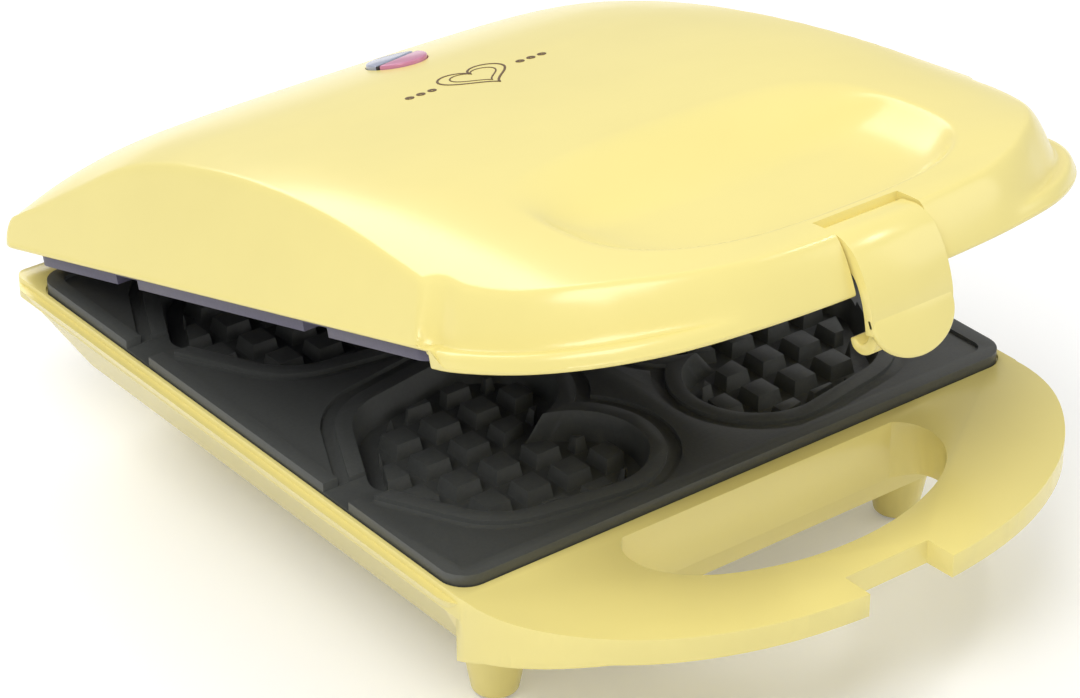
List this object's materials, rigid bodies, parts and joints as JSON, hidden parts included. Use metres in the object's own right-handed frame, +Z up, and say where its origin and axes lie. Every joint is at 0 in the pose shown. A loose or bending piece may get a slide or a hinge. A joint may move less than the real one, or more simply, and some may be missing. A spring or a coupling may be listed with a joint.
{
  "type": "heart waffle maker",
  "caption": "Clamshell waffle maker for heart waffles on sticks: yellow base with a carrying loop, hinged lid with a front catch, two dark grid plates and pilot lamps.",
  "frame": {"origin": "centre of the bounding box in X and Y, under the four feet, lid at its rest opening", "axes": "+Y from the handle to the hinge, +Z up, X across"},
  "size_m": [0.208, 0.298, 0.1503],
  "materials": {
    "yellow_plastic": "gloss",
    "rubber": "matt",
    "nonstick": "satin dark non-stick coating",
    "tube_steel": "heat-tinted",
    "zinc_steel": "zinc plated",
    "pin_steel": "drawn",
    "reflector": "bright sheet",
    "ceramic": "matt",
    "lead_sleeve": "woven glass sleeve",
    "lens_red": "translucent pink-red",
    "lens_green": "translucent grey-green",
    "dark_plastic": "matt",
    "white_plastic": "matt",
    "neon_glass": "clear"
  },
  "bodies": {
    "base": {"base_shell": "yellow_plastic", "base_feet": "yellow_plastic", "base_hinge_lugs": "yellow_plastic", "foot_pads": "rubber", "lower_plate": "nonstick", "lower_element": "tube_steel", "lower_element_clips": "zinc_steel", "lower_reflector": "reflector", "lower_plate_screws": "zinc_steel", "hinge_pins": "pin_steel", "cord_gland": "rubber", "terminal_block": "ceramic", "lower_leads": "lead_sleeve"},
    "lid": {"lid_shell": "yellow_plastic", "lid_handle_cover": "yellow_plastic", "handle_cover_screws": "zinc_steel", "upper_plate": "nonstick", "upper_plate_studs": "zinc_steel", "upper_element": "tube_steel", "upper_element_clips": "zinc_steel", "upper_reflector": "reflector", "upper_leads": "lead_sleeve", "thermostat": "ceramic", "thermal_fuse": "zinc_steel", "lamp_lens_green": "lens_green", "lamp_lens_red": "lens_red", "lamp_divider": "dark_plastic", "lamp_holder": "white_plastic", "neon_lamps": "neon_glass", "latch_pin": "pin_steel"},
    "latch": {"latch": "yellow_plastic"}
  },
  "joints": [
    {"name": "lid_hinge", "type": "hinge", "parent": "base", "child": "lid", "pos_m": [0, 0.14392, 0.054], "axis": [-1, 0, 0], "range_deg": [-15.9, 80]},
    {"name": "latch_pivot", "type": "hinge", "parent": "lid", "child": "latch", "pos_m": [0, -0.12483, 0.14355], "axis": [-1, 0, 0], "range_deg": [-8, 50]}
  ]
}
